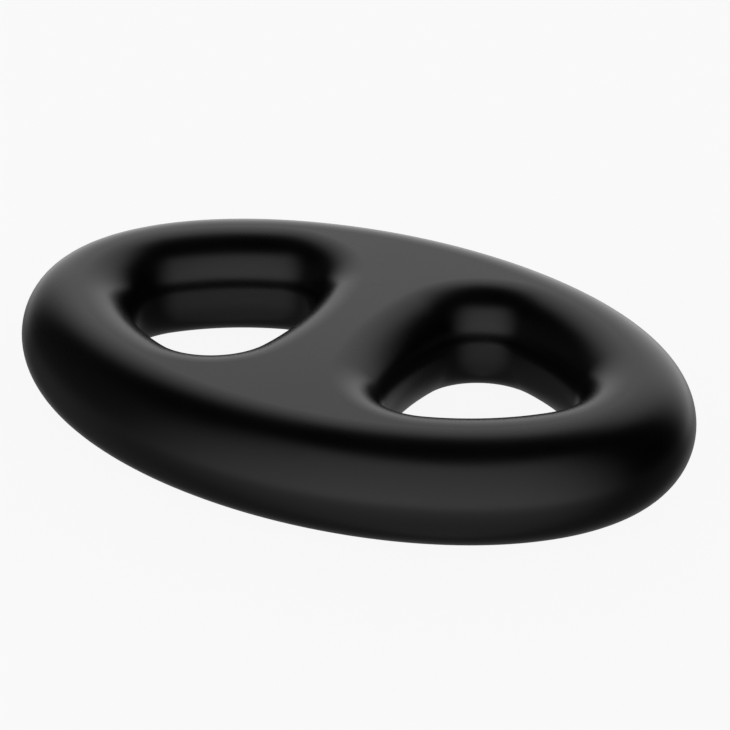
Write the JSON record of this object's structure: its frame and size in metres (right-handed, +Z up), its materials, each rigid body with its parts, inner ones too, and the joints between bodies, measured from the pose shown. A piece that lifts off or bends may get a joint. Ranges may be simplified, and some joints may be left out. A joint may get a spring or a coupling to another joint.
{
  "type": "two-hole stretch ring",
  "caption": "Oval slab ring moulded in black silicone rubber, with a round rim and rounded triangular openings either side of a flat central web.",
  "frame": {"origin": "middle of the flat underside, where the ring rests", "axes": "+X along the oval's long axis, through both openings; +Y across it; +Z up through the thickness"},
  "size_m": [0.075, 0.0496, 0.012],
  "materials": {
    "black_silicone": "satin"
  },
  "bodies": {
    "root": {"silicone_ring": "black_silicone"}
  },
  "joints": []
}
